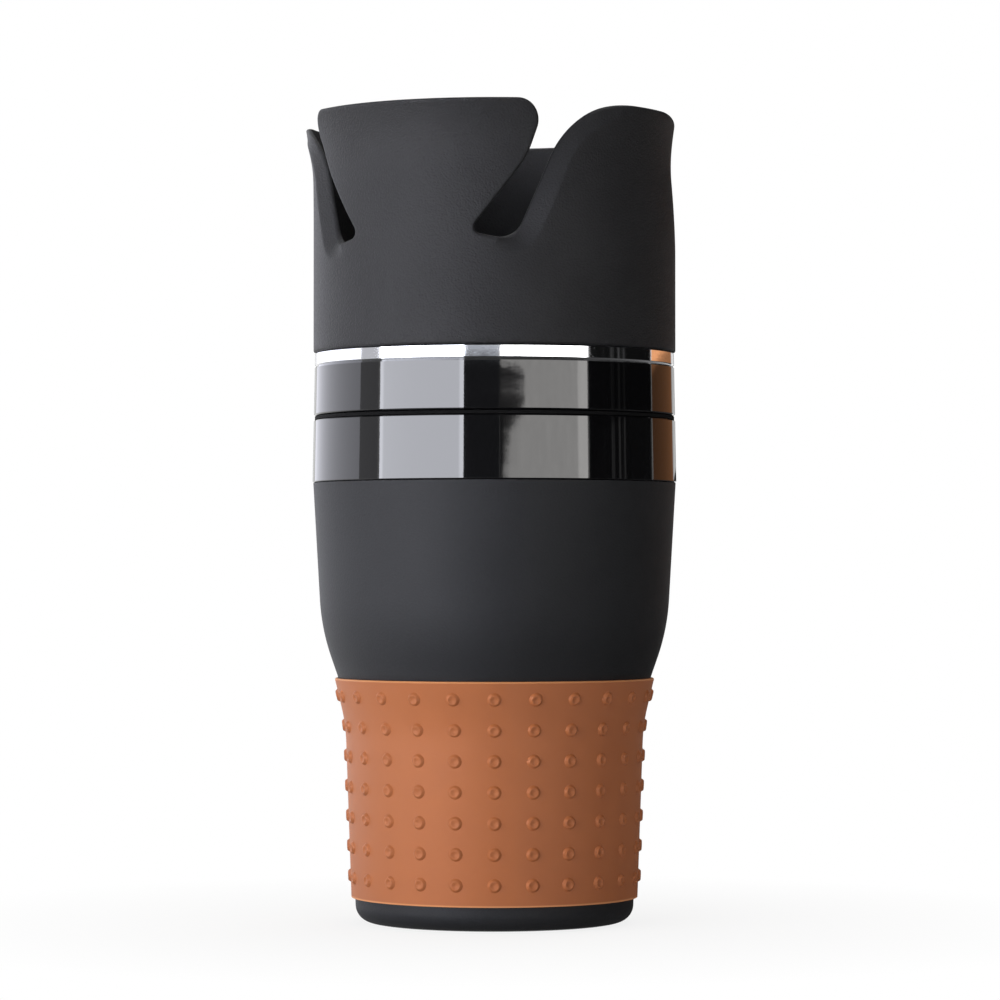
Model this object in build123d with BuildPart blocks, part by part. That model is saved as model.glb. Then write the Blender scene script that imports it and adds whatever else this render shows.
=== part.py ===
"""Two-cup holder for a car: a studded lower cup with an upper cup that swings out on an upright pin."""

import os
from math import asin, cos, degrees, radians, sin, tan

from build123d import *

os.makedirs("parts", exist_ok=True)

# Lower cup outline: rises from the floor up, and steps in radius from the rim down
RIM_RADIUS = 42.45
SHOULDER_STEP = 1.95
NECK_STEP = 4.05
WAIST_STEP = 2.5
FOOT_STEP = 1.45
WAIST_RISE = 46.0
NECK_RISE = 10.6
SHOULDER_RISE = 11.7
RIM_RISE = 34.1
SHOULDER_BLEND = 50.0
FOOT_ROUND = 4.0
FOOT_FACETS = 3
CUP_WALL = 2.6
FOOT_RECESS_MARGIN = 9.0
FOOT_RECESS_DEPTH = 0.8

# Spigot on the lower cup, with the lugs that the lower ring snaps over
SPIGOT_WALL = 1.2
SPIGOT_TOP_GAP = 0.3
LUG_COUNT = 4
LUG_SPAN = 14.0
LUG_SIDE_GAP = 1.0
LUG_PROUD = 0.5
LUG_HEIGHT = 2.4
LUG_RISE = 5.0

# Grip sleeve and its studs
GRIP_FOOT = 5.8
GRIP_HEIGHT = 51.1
GRIP_WALL = 0.8
STUD_ROWS = 7
STUD_COLUMNS = 24
STUD_FOOT_MARGIN = 4.9
STUD_TOP_MARGIN = 4.1
STUD_RADIUS = 1.65
STUD_PROUD = 0.7
STUD_TAPER = 22.0
STUD_SIDES = 6
STUD_ROOT = 0.4

# Gloss rings, both on one slightly drafted cone, with the dark split line between them
LOWER_RING_HEIGHT = 14.85
SPLIT_GAP = 0.9
BAND_HEIGHT = 11.55
BAND_OVERHANG = 0.15
BAND_DRAFT = 1.1
BAND_WALL = 2.5
LAND_MARGIN = 1.9
LAND_WIDTH = 3.8
LAND_THICKNESS = 2.6
RING_EDGE = 0.4

# Upper cup: floor, inner collar and the ribs under the floor
FLOOR_THICKNESS = 2.6
INNER_COLLAR_WALL = 2.2
INNER_COLLAR_HEIGHT = 20.5
BEAD_PROUD = 0.6
BEAD_HEIGHT = 2.4
BEAD_RISE = 14.0
RIB_COUNT = 6
RIB_THICKNESS = 1.6
RIB_DEPTH = 6.0
HUB_RADIUS = 11.0

# Trim ring
TRIM_HEIGHT = 3.3

# Soft collar with its flared mouth
COLLAR_HEIGHT = 55.0
COLLAR_OVERHANG = 0.4
COLLAR_WALL = 3.1
COLLAR_EDGE = 0.4
FLARE_HEIGHT = 15.0
FLARE_REACH = 2.9
PETAL_TIP_WALL = 2.4

# Slots between the petals, seen square on from outside; leans are degrees from upright
FAN_AZIMUTH = -117.5
SLOT_ANGLE = 37.0
SLOT_DEPTH = 31.9
SLOT_TILT = 2.1
SLOT_WIDTH = 10.2
SLOT_SHIFT = 7.4
SLOT_FAN_CORNER = 1.5
SLOT_SIDE_CORNER = 6.0
FAN_TIP_DEPTH = 13.0
FAN_LEAN = 37.8
FAN_TIP_LEAN = 18.3
FAN_CORNER = 5.0
FAN_BEND = 20.0
SIDE_LEAN = 24.6
SIDE_SHOULDER = 22.0
REAR_DROP = 2.6
REAR_TURN = 12.0

# Broad bevel along the side petals' edges
BEVEL_ANGLE = 47.0
BEVEL_DEPTH = 2.4
BEVEL_WIDTH = 3.7
BEVEL_MARGIN = 5.2
BEVEL_REACH = 4

# Pivot
BOSS_RADIUS = 6.0
BOSS_LENGTH = 10.2
BOSS_WEB = 7.0
SHANK_RADIUS = 3.0
BUSH_WALL = 1.2
BUSH_FLANGE_RADIUS = 5.2
BUSH_FLANGE = 0.9
WASHER_THICKNESS = 0.7
WASHER_RADIUS = 4.6
SPRING_THICKNESS = 0.4
SPRING_HEIGHT = 1.0
SPRING_RADIUS = 4.5
HEAD_RADIUS = 4.3
HEAD_HEIGHT = 2.4
SOCKET_RADIUS = 1.7
SOCKET_DEPTH = 1.4
THREAD_RADIUS = 2.0
THREAD_LENGTH = 6.5
INSERT_WALL = 0.85
INSERT_LENGTH = 7.0

# Clearances
SNUG_FIT = 0.1
RUNNING_FIT = 0.05
SWING_CLEARANCE = 0.3
NOTCH_CLEARANCE = 0.5

# Levels, from the floor up
neck_height = WAIST_RISE + NECK_RISE
shoulder_height = neck_height + SHOULDER_RISE
rim_height = shoulder_height + RIM_RISE
ring_top = rim_height + LOWER_RING_HEIGHT
band_bottom = ring_top + SPLIT_GAP
band_top = band_bottom + BAND_HEIGHT
trim_top = band_top + TRIM_HEIGHT
collar_top = trim_top + COLLAR_HEIGHT
land_top = band_bottom - SWING_CLEARANCE
land_bottom = land_top - LAND_THICKNESS
spigot_top = land_bottom - SPIGOT_TOP_GAP
boss_bottom = land_top - BOSS_LENGTH
floor_bottom = band_top - FLOOR_THICKNESS
bead_height = trim_top + BEAD_RISE


def band_radius(height):
    """Radius of the gloss rings' shared cone at a height."""
    return RIM_RADIUS + BAND_OVERHANG - (height - rim_height) * tan(radians(BAND_DRAFT))


# Radii, each from the piece that it seats on
shoulder_radius = RIM_RADIUS - SHOULDER_STEP
neck_radius = shoulder_radius - NECK_STEP
waist_radius = neck_radius - WAIST_STEP
foot_radius = waist_radius - FOOT_STEP
mouth_radius = RIM_RADIUS - CUP_WALL
spigot_radius = mouth_radius + SPIGOT_WALL
ring_bore = spigot_radius + SNUG_FIT
land_radius = band_radius(ring_top) - LAND_MARGIN
collar_radius = band_radius(trim_top) + COLLAR_OVERHANG
collar_bore = collar_radius - COLLAR_WALL
inner_collar_radius = collar_bore - SNUG_FIT
cup_bore = inner_collar_radius - INNER_COLLAR_WALL
pivot_offset = land_radius - BOSS_RADIUS
pivot_axis = Axis((0, pivot_offset, 0), (0, 0, 1))
shank_bore = SHANK_RADIUS + RUNNING_FIT
bush_radius = shank_bore + BUSH_WALL
insert_bore = THREAD_RADIUS + RUNNING_FIT
insert_radius = insert_bore + INSERT_WALL


def cup_outline(gap):
    """Corners of the lower cup's outline, foot to rim, moved out by a gap."""
    return [
        (foot_radius + gap, FOOT_ROUND),
        (waist_radius + gap, WAIST_RISE),
        (neck_radius + gap, neck_height),
        (shoulder_radius + gap, shoulder_height),
        (RIM_RADIUS + gap, rim_height),
    ]


def foot_corners():
    """Corners of the cup's rounded foot, from its flat underside up to its wall."""
    turns = [radians(90 * step / FOOT_FACETS) for step in range(FOOT_FACETS + 1)]
    centre = foot_radius - FOOT_ROUND
    return [(centre + FOOT_ROUND * sin(turn), FOOT_ROUND * (1 - cos(turn))) for turn in turns]


def lug_corners(gap):
    """Corners of a snap lug's wedge section, grown by a gap for the pocket that takes it."""
    foot = rim_height + LUG_RISE
    return [
        (spigot_radius - SPIGOT_WALL / 2, foot - gap),
        (spigot_radius + LUG_PROUD + gap, foot - gap),
        (spigot_radius + LUG_PROUD + gap, foot + gap),
        (spigot_radius - SPIGOT_WALL / 2, foot + LUG_HEIGHT + gap),
    ]


def lug_plane(index, side_gap):
    """Upright plane where a lug's sweep round the spigot starts."""
    return Plane.XZ.rotated((0, 0, (index + 0.5) * 360 / LUG_COUNT - LUG_SPAN / 2 - side_gap))


# Lower cup: one thin-walled moulding with a spigot, notched for the pivot's boss
with BuildPart() as lower_cup:
    with BuildSketch(Plane.XZ):
        with BuildLine():
            wall = FilletPolyline(cup_outline(0), radius=[0, 0, SHOULDER_BLEND])
            Polyline(
                wall @ 1,
                (spigot_radius, rim_height),
                (spigot_radius, spigot_top),
                (mouth_radius, spigot_top),
                (mouth_radius, rim_height),
                (shoulder_radius - CUP_WALL, shoulder_height + CUP_WALL),
                (neck_radius - CUP_WALL, neck_height),
                (waist_radius - CUP_WALL, WAIST_RISE),
                (foot_radius - CUP_WALL, FOOT_ROUND + FOOT_RECESS_DEPTH),
                (foot_radius - FOOT_ROUND, CUP_WALL + FOOT_RECESS_DEPTH),
                (0, CUP_WALL + FOOT_RECESS_DEPTH),
                (0, FOOT_RECESS_DEPTH),
                (foot_radius - FOOT_RECESS_MARGIN, FOOT_RECESS_DEPTH),
                (foot_radius - FOOT_RECESS_MARGIN, 0),
                *foot_corners(),
            )
        make_face()
    revolve(axis=Axis.Z)
    for index in range(LUG_COUNT):
        with BuildSketch(lug_plane(index, 0)):
            Polygon(*lug_corners(0), align=None)
        revolve(axis=Axis.Z, revolution_arc=LUG_SPAN)
    with BuildSketch(Plane.XY.offset(boss_bottom - NOTCH_CLEARANCE)):
        with Locations((0, pivot_offset)):
            Circle(BOSS_RADIUS + NOTCH_CLEARANCE)
            Rectangle(BOSS_WEB + 2 * NOTCH_CLEARANCE, BOSS_RADIUS + CUP_WALL, align=(Align.CENTER, Align.MIN))
    extrude(until=Until.LAST, mode=Mode.SUBTRACT)
lower_cup.part.label = "lower_cup"
export_step(lower_cup.part, "parts/lower_cup.step")

# Grip sleeve: a skin that follows the cup's outline, cut level at both ends, with rows of studs
skin_gap = SNUG_FIT + GRIP_WALL
stud_pitch = (GRIP_HEIGHT - STUD_FOOT_MARGIN - STUD_TOP_MARGIN) / (STUD_ROWS - 1)
with BuildLine(Plane.XZ) as skin_line:
    FilletPolyline(cup_outline(skin_gap), radius=[0, 0, SHOULDER_BLEND])

with BuildPart() as stud_column:
    for row in range(STUD_ROWS):
        climb = GRIP_FOOT - FOOT_ROUND + STUD_FOOT_MARGIN + row * stud_pitch
        seat = skin_line.wire().position_at(climb, position_mode=PositionMode.LENGTH)
        along = skin_line.wire().tangent_at(climb, position_mode=PositionMode.LENGTH)
        outward = Vector(along.Z, 0, -along.X)
        with BuildSketch(Plane(origin=seat - outward * STUD_ROOT, x_dir=(0, 1, 0), z_dir=outward)):
            RegularPolygon(STUD_RADIUS, STUD_SIDES)
        extrude(amount=STUD_ROOT + STUD_PROUD, taper=STUD_TAPER)

with BuildPart() as grip_sleeve:
    with BuildSketch(Plane.XZ):
        with BuildLine():
            inside = FilletPolyline(cup_outline(SNUG_FIT), radius=[0, 0, SHOULDER_BLEND])
            outside = FilletPolyline(cup_outline(skin_gap), radius=[0, 0, SHOULDER_BLEND])
            Line(inside @ 0, outside @ 0)
            Line(inside @ 1, outside @ 1)
        make_face()
    revolve(axis=Axis.Z)
    split(bisect_by=Plane.XY.offset(GRIP_FOOT), keep=Keep.TOP)
    split(bisect_by=Plane.XY.offset(GRIP_FOOT + GRIP_HEIGHT), keep=Keep.BOTTOM)
    with PolarLocations(0, STUD_COLUMNS, start_angle=-90):
        add(stud_column.part)
grip_sleeve.part.label = "grip_sleeve"
export_step(grip_sleeve.part, "parts/grip_sleeve.step")

# Lower ring: gloss band with a raised land inside its top edge and a boss for the pivot
with BuildPart() as lower_ring:
    with BuildSketch(Plane.XZ):
        with BuildLine():
            Polyline(
                (ring_bore, rim_height),
                (band_radius(rim_height), rim_height),
                (band_radius(ring_top), ring_top),
                (land_radius, ring_top),
                (land_radius, land_top),
                (land_radius - LAND_WIDTH, land_top),
                (land_radius - LAND_WIDTH, land_bottom),
                (ring_bore, land_bottom),
                close=True,
            )
        make_face()
    revolve(axis=Axis.Z)
    round_edges = lower_ring.edges().filter_by(GeomType.CIRCLE)
    chamfer(round_edges.filter_by(lambda edge: edge.radius > ring_bore + SNUG_FIT), length=RING_EDGE)
    with BuildSketch(Plane.XY.offset(boss_bottom)):
        with Locations((0, pivot_offset)):
            Circle(BOSS_RADIUS)
            Rectangle(BOSS_WEB, ring_bore + LUG_PROUD - pivot_offset, align=(Align.CENTER, Align.MIN))
    extrude(amount=land_bottom - boss_bottom)
    with BuildSketch(Plane.XY.offset(land_bottom)):
        with Locations((0, pivot_offset)):
            Circle(BOSS_RADIUS)
    extrude(amount=LAND_THICKNESS)
    with Locations((0, pivot_offset, land_top)):
        CounterBoreHole(
            radius=bush_radius + SNUG_FIT,
            counter_bore_radius=BUSH_FLANGE_RADIUS + SNUG_FIT,
            counter_bore_depth=BUSH_FLANGE + RUNNING_FIT - SWING_CLEARANCE,
        )
    for index in range(LUG_COUNT):
        with BuildSketch(lug_plane(index, LUG_SIDE_GAP)):
            Polygon(*lug_corners(SNUG_FIT), align=None)
        revolve(axis=Axis.Z, revolution_arc=LUG_SPAN + 2 * LUG_SIDE_GAP, mode=Mode.SUBTRACT)
lower_ring.part.label = "lower_ring"
export_step(lower_ring.part, "parts/lower_ring.step")

# Swing cup: band, floor and inner collar in one moulding, ribbed underneath, with the pivot's boss
band_bore = band_radius(band_top) - BAND_WALL
with BuildPart() as swing_cup:
    with BuildSketch(Plane.XZ):
        with BuildLine():
            Polyline(
                (0, band_top),
                (cup_bore, band_top),
                (cup_bore, band_top + INNER_COLLAR_HEIGHT),
                (inner_collar_radius, band_top + INNER_COLLAR_HEIGHT),
                (inner_collar_radius, bead_height + BEAD_HEIGHT / 2),
                (inner_collar_radius + BEAD_PROUD, bead_height),
                (inner_collar_radius, bead_height - BEAD_HEIGHT / 2),
                (inner_collar_radius, band_top),
                (band_radius(band_top), band_top),
                (band_radius(band_bottom), band_bottom),
                (band_bore, band_bottom),
                (band_bore, floor_bottom),
                (0, floor_bottom),
                close=True,
            )
        make_face()
    revolve(axis=Axis.Z)
    round_edges = swing_cup.edges().filter_by(GeomType.CIRCLE)
    chamfer(round_edges.filter_by(lambda edge: edge.radius > band_bore + SNUG_FIT), length=RING_EDGE)
    with BuildSketch(Plane.XY.offset(floor_bottom)):
        Circle(HUB_RADIUS)
        Circle(HUB_RADIUS - RIB_THICKNESS, mode=Mode.SUBTRACT)
        with PolarLocations(HUB_RADIUS - RIB_THICKNESS / 2, RIB_COUNT, start_angle=90):
            Rectangle(
                band_bore + BAND_WALL / 2 - HUB_RADIUS + RIB_THICKNESS / 2,
                RIB_THICKNESS,
                align=(Align.MIN, Align.CENTER),
            )
    extrude(amount=-RIB_DEPTH)
    with BuildSketch(Plane.XY.offset(band_bottom)):
        with Locations((0, pivot_offset)):
            Circle(BOSS_RADIUS)
    extrude(amount=floor_bottom - band_bottom)
    with BuildSketch(Plane.XY.offset(band_bottom)):
        with Locations((0, pivot_offset)):
            Circle(insert_radius + RUNNING_FIT)
    extrude(amount=INSERT_LENGTH + SNUG_FIT, mode=Mode.SUBTRACT)
swing_cup.part.label = "swing_cup"
export_step(swing_cup.part, "parts/swing_cup.step")

# Trim ring: plated ring that sits on the band's shoulder, round the inner collar
with BuildPart() as trim_ring:
    with BuildSketch(Plane.XZ):
        with BuildLine():
            Polyline(
                (collar_bore, band_top),
                (band_radius(band_top), band_top),
                (band_radius(trim_top), trim_top),
                (collar_bore, trim_top),
                close=True,
            )
        make_face()
    revolve(axis=Axis.Z)
    round_edges = trim_ring.edges().filter_by(GeomType.CIRCLE)
    chamfer(round_edges.filter_by(lambda edge: edge.radius > collar_bore + SNUG_FIT), length=RING_EDGE)
trim_ring.part.label = "trim_ring"
export_step(trim_ring.part, "parts/trim_ring.step")


# Petal collar: soft tube with a flared mouth, cut into two fan petals and two side petals
def petal_plane(distance, angle):
    """Plane that faces outward at an angle from the fan petal's middle, level with the petal tips."""
    outward = Vector(1, 0, 0).rotate(Axis.Z, FAN_AZIMUTH + angle)
    across = outward.rotate(Axis.Z, 90)
    return Plane(origin=outward * distance + Vector(0, 0, collar_top), x_dir=across, z_dir=outward)


def across_bevel(across_slot):
    """Place across the bevel's plane of a point on the collar given across the slot's plane."""
    angle = SLOT_ANGLE + degrees(asin(across_slot / collar_radius))
    return collar_radius * sin(radians(angle - BEVEL_ANGLE))


slot_left = -SLOT_SHIFT - SLOT_WIDTH / 2
slot_right = -SLOT_SHIFT + SLOT_WIDTH / 2
fan_corner = min(SLOT_FAN_CORNER, SLOT_WIDTH / 5)
side_corner = min(SLOT_SIDE_CORNER, SLOT_WIDTH * 3 / 4)
bevel_corner = min(side_corner, BEVEL_MARGIN)
fan_bend = slot_left + (SLOT_DEPTH - SLOT_TILT - FAN_TIP_DEPTH) * tan(radians(FAN_LEAN))
fan_tip = fan_bend + FAN_TIP_DEPTH * tan(radians(FAN_TIP_LEAN))
rear_tip = fan_tip - REAR_DROP * tan(radians(FAN_TIP_LEAN))
side_tip = slot_right + SLOT_DEPTH * tan(radians(SIDE_LEAN))
bevel_foot = across_bevel(slot_right)
bevel_tip = across_bevel(side_tip)
clear_above = 2 * FAN_CORNER
clear_beside = side_tip + 2 * SIDE_SHOULDER

with BuildPart() as petal_cuts:
    with BuildSketch(petal_plane(collar_radius / 2, SLOT_ANGLE)):
        with BuildLine():
            FilletPolyline(
                (slot_right, -SLOT_DEPTH),
                (side_tip, 0),
                (clear_beside, 0),
                (clear_beside, clear_above),
                (fan_tip - 2 * FAN_CORNER, clear_above),
                (fan_tip - 2 * FAN_CORNER, 0),
                (fan_tip, 0),
                (fan_bend, -FAN_TIP_DEPTH),
                (slot_left, SLOT_TILT - SLOT_DEPTH),
                radius=[side_corner, SIDE_SHOULDER, 0, 0, 0, 0, FAN_CORNER, FAN_BEND, fan_corner],
                close=True,
            )
        make_face()
    extrude(amount=collar_radius)
    for reach in (0, BEVEL_REACH):
        shift = reach * BEVEL_WIDTH
        with BuildSketch(petal_plane(collar_radius + (reach - 1) * BEVEL_DEPTH, BEVEL_ANGLE)):
            with BuildLine():
                FilletPolyline(
                    (bevel_foot + shift, -SLOT_DEPTH),
                    (bevel_tip + shift, 0),
                    (clear_beside + shift, 0),
                    (clear_beside + shift, clear_above),
                    (bevel_tip - BEVEL_MARGIN, clear_above),
                    (bevel_tip - BEVEL_MARGIN, 0),
                    (bevel_foot - BEVEL_MARGIN, -SLOT_DEPTH),
                    radius=[bevel_corner, SIDE_SHOULDER, 0, 0, 0, 0, 0],
                    close=True,
                )
            make_face()
    loft(ruled=True)
    fan_direction = Vector(1, 0, 0).rotate(Axis.Z, FAN_AZIMUTH)
    mirror(about=Plane(origin=(0, 0, 0), z_dir=fan_direction.rotate(Axis.Z, 90)))

# The rear fan petal stands lower than the front one, and is turned a little from opposite it
with BuildPart() as rear_cuts:
    with BuildSketch(petal_plane(collar_radius / 2, SLOT_ANGLE)):
        with BuildLine():
            FilletPolyline(
                (rear_tip, -REAR_DROP),
                (fan_bend, -FAN_TIP_DEPTH),
                ((fan_bend + side_tip) / 2, 0),
                ((fan_bend + side_tip) / 2, clear_above),
                (-collar_radius, clear_above),
                (-collar_radius, -REAR_DROP),
                radius=[FAN_CORNER, 0, 0, 0, 0, 0],
                close=True,
            )
        make_face()
    extrude(amount=collar_radius)
    mirror(about=Plane(origin=(0, 0, 0), z_dir=fan_direction.rotate(Axis.Z, 90)))
    add(petal_cuts.part)

flare_start = collar_top - FLARE_HEIGHT
flare_middle = collar_top - FLARE_HEIGHT / 2
inner_reach = FLARE_REACH + COLLAR_WALL - PETAL_TIP_WALL
with BuildPart() as petal_collar:
    with BuildSketch(Plane.XZ):
        with BuildLine():
            Polyline(
                (collar_radius, trim_top),
                (collar_radius, flare_start),
                (collar_radius + FLARE_REACH / 4, flare_middle),
                (collar_radius + FLARE_REACH, collar_top),
                (collar_bore + inner_reach, collar_top),
                (collar_bore + inner_reach / 4, flare_middle),
                (collar_bore, flare_start),
                (collar_bore, bead_height + BEAD_HEIGHT / 2 + SNUG_FIT),
                (collar_bore + BEAD_PROUD, bead_height),
                (collar_bore, bead_height - BEAD_HEIGHT / 2 - SNUG_FIT),
                (collar_bore, trim_top),
                close=True,
            )
        make_face()
    revolve(axis=Axis.Z)
    foot_edges = petal_collar.edges().filter_by(GeomType.CIRCLE).group_by(Axis.Z)[0]
    chamfer(foot_edges.sort_by(SortBy.RADIUS)[-1], length=COLLAR_EDGE)
    add(petal_cuts.part, mode=Mode.SUBTRACT)
    add(rear_cuts.part, rotation=(0, 0, 180 + REAR_TURN), mode=Mode.SUBTRACT)
petal_collar.part.label = "petal_collar"
export_step(petal_collar.part, "parts/petal_collar.step")

# Pivot hardware, stacked on the pin from the swing cup's boss down to the screw's head
washer_top = boss_bottom - RUNNING_FIT
spring_top = washer_top - WASHER_THICKNESS
head_top = spring_top - SPRING_HEIGHT

with BuildPart() as pivot_bush:
    with BuildSketch(Plane.XY.offset(band_bottom - RUNNING_FIT)):
        with Locations((0, pivot_offset)):
            Circle(BUSH_FLANGE_RADIUS)
    extrude(amount=-BUSH_FLANGE)
    with BuildSketch(Plane.XY.offset(boss_bottom)):
        with Locations((0, pivot_offset)):
            Circle(bush_radius)
    extrude(amount=band_bottom - RUNNING_FIT - BUSH_FLANGE - boss_bottom)
    with Locations((0, pivot_offset, band_bottom)):
        Hole(radius=shank_bore)
pivot_bush.part.label = "pivot_bush"
export_step(pivot_bush.part, "parts/pivot_bush.step")

with BuildPart() as flat_washer:
    with BuildSketch(Plane.XY.offset(spring_top)):
        with Locations((0, pivot_offset)):
            Circle(WASHER_RADIUS)
            Circle(shank_bore, mode=Mode.SUBTRACT)
    extrude(amount=WASHER_THICKNESS)
flat_washer.part.label = "flat_washer"
export_step(flat_washer.part, "parts/flat_washer.step")

with BuildPart() as disc_spring:
    with BuildSketch(Plane.XZ.offset(-pivot_offset)):
        Polygon(
            (shank_bore, spring_top - SPRING_THICKNESS),
            (SPRING_RADIUS, head_top),
            (SPRING_RADIUS, head_top + SPRING_THICKNESS),
            (shank_bore, spring_top),
            align=None,
        )
    revolve(axis=pivot_axis)
disc_spring.part.label = "disc_spring"
export_step(disc_spring.part, "parts/disc_spring.step")

with BuildPart() as threaded_insert:
    with BuildSketch(Plane.XY.offset(band_bottom)):
        with Locations((0, pivot_offset)):
            Circle(insert_radius)
            Circle(insert_bore, mode=Mode.SUBTRACT)
    extrude(amount=INSERT_LENGTH)
threaded_insert.part.label = "threaded_insert"
export_step(threaded_insert.part, "parts/threaded_insert.step")

with BuildPart() as pivot_screw:
    with BuildSketch(Plane.XZ.offset(-pivot_offset)):
        Polygon(
            (0, head_top - HEAD_HEIGHT),
            (HEAD_RADIUS, head_top - HEAD_HEIGHT),
            (HEAD_RADIUS, head_top),
            (SHANK_RADIUS, head_top),
            (SHANK_RADIUS, band_bottom),
            (THREAD_RADIUS, band_bottom),
            (THREAD_RADIUS, band_bottom + THREAD_LENGTH),
            (0, band_bottom + THREAD_LENGTH),
            align=None,
        )
    revolve(axis=pivot_axis)
    with BuildSketch(Plane.XY.offset(head_top - HEAD_HEIGHT)):
        with Locations((0, pivot_offset)):
            RegularPolygon(SOCKET_RADIUS, 6)
    extrude(amount=SOCKET_DEPTH, mode=Mode.SUBTRACT)
pivot_screw.part.label = "pivot_screw"
export_step(pivot_screw.part, "parts/pivot_screw.step")
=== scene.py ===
"""Looks of the swing-out cup holder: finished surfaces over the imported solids, studio light and camera."""

import bmesh
import bpy
import numpy as np
from math import atan, cos, pi, radians, sin, tan
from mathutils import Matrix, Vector
from mathutils.geometry import delaunay_2d_cdt


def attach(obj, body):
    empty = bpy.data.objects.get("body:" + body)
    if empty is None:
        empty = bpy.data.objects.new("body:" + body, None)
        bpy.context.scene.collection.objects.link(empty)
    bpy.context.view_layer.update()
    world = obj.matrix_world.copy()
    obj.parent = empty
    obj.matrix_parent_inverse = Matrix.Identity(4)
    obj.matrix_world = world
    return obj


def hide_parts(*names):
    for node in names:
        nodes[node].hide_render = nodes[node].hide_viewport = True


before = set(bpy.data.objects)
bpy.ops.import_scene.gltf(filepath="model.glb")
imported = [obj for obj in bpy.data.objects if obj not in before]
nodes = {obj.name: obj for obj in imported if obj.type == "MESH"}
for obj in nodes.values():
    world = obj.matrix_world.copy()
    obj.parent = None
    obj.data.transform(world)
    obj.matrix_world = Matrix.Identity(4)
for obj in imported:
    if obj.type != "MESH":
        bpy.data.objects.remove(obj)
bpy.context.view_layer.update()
MM = 0.001

# Sizes of the holder in millimetres and degrees, as the solids have them
FOOT_RADIUS, WAIST_RADIUS, NECK_RADIUS, SHOULDER_RADIUS, RIM_RADIUS = 32.5, 33.95, 36.45, 40.5, 42.45
FOOT_ROUND, WAIST_HEIGHT, NECK_HEIGHT, SHOULDER_HEIGHT, RIM_HEIGHT = 4.0, 46.0, 56.6, 68.3, 102.4
WAIST_BLEND, NECK_BLEND, SHOULDER_BLEND = 40.0, 20.0, 50.0
CUP_WALL, RECESS_RADIUS, RECESS_DEPTH = 2.6, 23.5, 0.8
SPIGOT_WALL, SPIGOT_TOP, NOTCH_FLOOR, NOTCH_HALF = 1.2, 114.95, 107.15, 6.5
GRIP_FOOT, GRIP_TOP, GRIP_GAP, GRIP_WALL = 5.8, 56.9, 0.1, 0.8
STUD_COLUMNS, STUD_ROWS, STUD_FIRST, STUD_LAST = 24, 7, 10.7, 52.8
RING_TOP, TRIM_TOP, COLLAR_TOP = 117.25, 133.0, 188.0
COLLAR_RADIUS, COLLAR_BORE = 42.412, 39.312
FLARE_HEIGHT, FLARE_REACH, INNER_REACH = 15.0, 2.9, 3.6
FAN_AZIMUTH, SLOT_ANGLE, SLOT_DEPTH, SLOT_TILT, SLOT_LEFT, SLOT_RIGHT = -117.5, 37.0, 31.9, 2.1, -12.5, -2.3
SLOT_FAN_CORNER, SLOT_SIDE_CORNER, REAR_DROP, REAR_TURN = 1.5, 6.0, 2.6, 12.0
FAN_TIP_DEPTH, FAN_LEAN, FAN_TIP_LEAN, FAN_CORNER, FAN_BEND = 13.0, 37.8, 18.3, 5.0, 20.0
SIDE_LEAN, SIDE_SHOULDER = 24.6, 22.0

# Details that only the finished surfaces have, in millimetres
GRIP_LIP, STUD_SIDES = 0.35, 12
# Dark strip in the split line between the rings: painted shade, standing where the gap has only shadow
SHADE_STRIP_INSIDE, SHADE_STRIP_OUTSIDE, SHADE_STRIP_HEIGHT, SHADE_STRIP_EDGE = 40.45, 42.1, 0.78, 0.15
OUTER_ROUND, INNER_ROUND, COLLAR_FOOT_ROUND, CREASE_SOFTNESS, LEAST_WALL = 0.7, 0.6, 0.4, 0.08, 0.9
RIGHT_LEAN, RIGHT_TIP_LEAN, LEFT_SPREAD, LEFT_DROOP, RIGHT_REAR_DROOP = 2.4, 0.6, 0.55, 1.5, 2.0

# Steps round a turned piece, and the gap in metres under which two points are one
ROUND_STEPS, MERGE_GAP, SLIVER = 192, 2e-6, 1e-6


def piece(name, points, faces, body, replaced, finish, sharp=35.0):
    """One finished piece: a mesh from points in millimetres, doubles merged, faces turned outwards."""
    mesh = bpy.data.meshes.new(name)
    mesh.from_pydata((np.asarray(points) * MM).tolist(), [], [list(face) for face in faces])
    shape = bmesh.new()
    shape.from_mesh(mesh)
    bmesh.ops.remove_doubles(shape, verts=shape.verts, dist=MERGE_GAP)
    bmesh.ops.dissolve_degenerate(shape, edges=shape.edges, dist=SLIVER)
    bmesh.ops.recalc_face_normals(shape, faces=shape.faces)
    shape.to_mesh(mesh)
    shape.free()
    mesh.shade_smooth()
    mesh.set_sharp_from_angle(angle=radians(sharp))
    mesh.materials.append(finish)
    made = bpy.data.objects.new(name, mesh)
    bpy.context.scene.collection.objects.link(made)
    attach(made, body)
    if replaced:
        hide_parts(replaced)


def rounded_path(corners, radii, step):
    """Points along straight runs joined by arcs: each arc touches both runs at radius * tan(half turn)
    from the corner."""
    corners = np.asarray(corners, float)
    stops = [corners[:1]]
    for before, corner, after, radius in zip(corners[:-2], corners[1:-1], corners[2:], radii):
        into = (corner - before) / np.linalg.norm(corner - before)
        out = (after - corner) / np.linalg.norm(after - corner)
        turn = np.arctan2(into[0] * out[1] - into[1] * out[0], into @ out)
        if radius == 0 or abs(turn) < 1e-6:
            stops.append(corner[None])
            continue
        side = np.sign(turn) * np.array([-into[1], into[0]])
        start = corner - into * radius * tan(abs(turn) / 2)
        swing = np.linspace(0, abs(turn), max(3, int(radius * abs(turn) / step) + 2))[:, None]
        stops.append(start + radius * (np.sin(swing) * into + (1 - np.cos(swing)) * side))
    stops.append(corners[-1:])
    path = np.concatenate(stops)
    spans = np.linalg.norm(np.diff(path, axis=0), axis=1)
    return path[np.concatenate([[True], spans > 1e-6])]


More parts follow.
